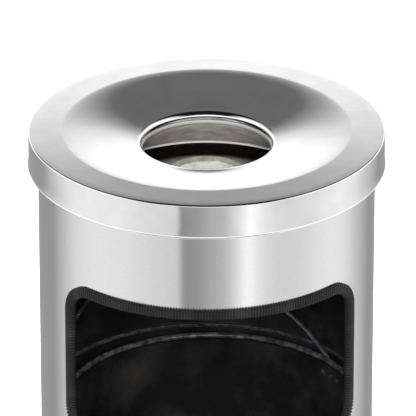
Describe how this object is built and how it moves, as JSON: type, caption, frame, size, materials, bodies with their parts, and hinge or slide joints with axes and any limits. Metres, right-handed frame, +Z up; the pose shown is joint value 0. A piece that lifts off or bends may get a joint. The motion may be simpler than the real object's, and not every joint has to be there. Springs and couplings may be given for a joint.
{
  "type": "ashtray bin",
  "caption": "Free-standing round litter bin with a windowed steel body, a funnel ashtray lid over an ash pan, and a lift-out inner bin with a bail.",
  "frame": {"origin": "on the floor, on the body's axis, at the centre of the base ring's underside", "axes": "+Z up along the body's axis, the window faces -Y, +X to the right seen from the front"},
  "size_m": [0.26, 0.26, 0.62],
  "materials": {
    "satin_stainless": "satin, vertical grain",
    "polished_stainless": "polished, spun",
    "worn_steel": "dull, ash-stained",
    "galvanised_steel": "galvanised",
    "rivet_steel": "bright",
    "black_rubber": "matt, ribbed",
    "black_lacquer": "gloss black",
    "black_wire": "black, slightly worn"
  },
  "bodies": {
    "body": {"body_shell": "satin_stainless", "window_trim": "black_rubber", "guide_hoop": "black_wire", "base_plate": "galvanised_steel", "base_ring": "black_rubber", "base_rivet_1": "rivet_steel", "base_rivet_2": "rivet_steel", "base_rivet_3": "rivet_steel", "base_rivet_4": "rivet_steel"},
    "lid": {"lid_cover": "polished_stainless", "damper_cone": "worn_steel", "damper_bracket_1": "galvanised_steel", "damper_bracket_2": "galvanised_steel", "damper_bracket_3": "galvanised_steel", "damper_rivet_1": "rivet_steel", "damper_rivet_2": "rivet_steel", "damper_rivet_3": "rivet_steel"},
    "ash_tray": {"ash_pan": "worn_steel"},
    "inner_bin": {"inner_bin_shell": "black_lacquer", "inner_bin_base": "black_lacquer", "inner_bin_rim": "black_lacquer", "bail_ear_left": "black_wire", "bail_ear_right": "black_wire", "ear_rivet_left_1": "black_wire", "ear_rivet_left_2": "black_wire", "ear_rivet_right_1": "black_wire", "ear_rivet_right_2": "black_wire"},
    "bail": {"bail_handle": "black_wire"}
  },
  "joints": [
    {"name": "lid_lift", "type": "slide", "parent": "body", "child": "lid", "axis": [0, 0, 1], "range_m": [0, 0.9]},
    {"name": "ash_tray_lift", "type": "slide", "parent": "body", "child": "ash_tray", "axis": [0, 0, 1], "range_m": [0, 0.8]},
    {"name": "inner_bin_lift", "type": "slide", "parent": "body", "child": "inner_bin", "axis": [0, 0, 1], "range_m": [0, 0.64]},
    {"name": "bail_swing", "type": "hinge", "parent": "inner_bin", "child": "bail", "pos_m": [0.004, 0, 0.3875], "axis": [0.8271, 0.5621, 0], "range_deg": [-8, 112]}
  ],
  "couplings": [
    {"joint": "ash_tray_lift", "follows": "lid_lift", "ratio": 0.85},
    {"joint": "inner_bin_lift", "follows": "lid_lift", "ratio": 0.7}
  ]
}
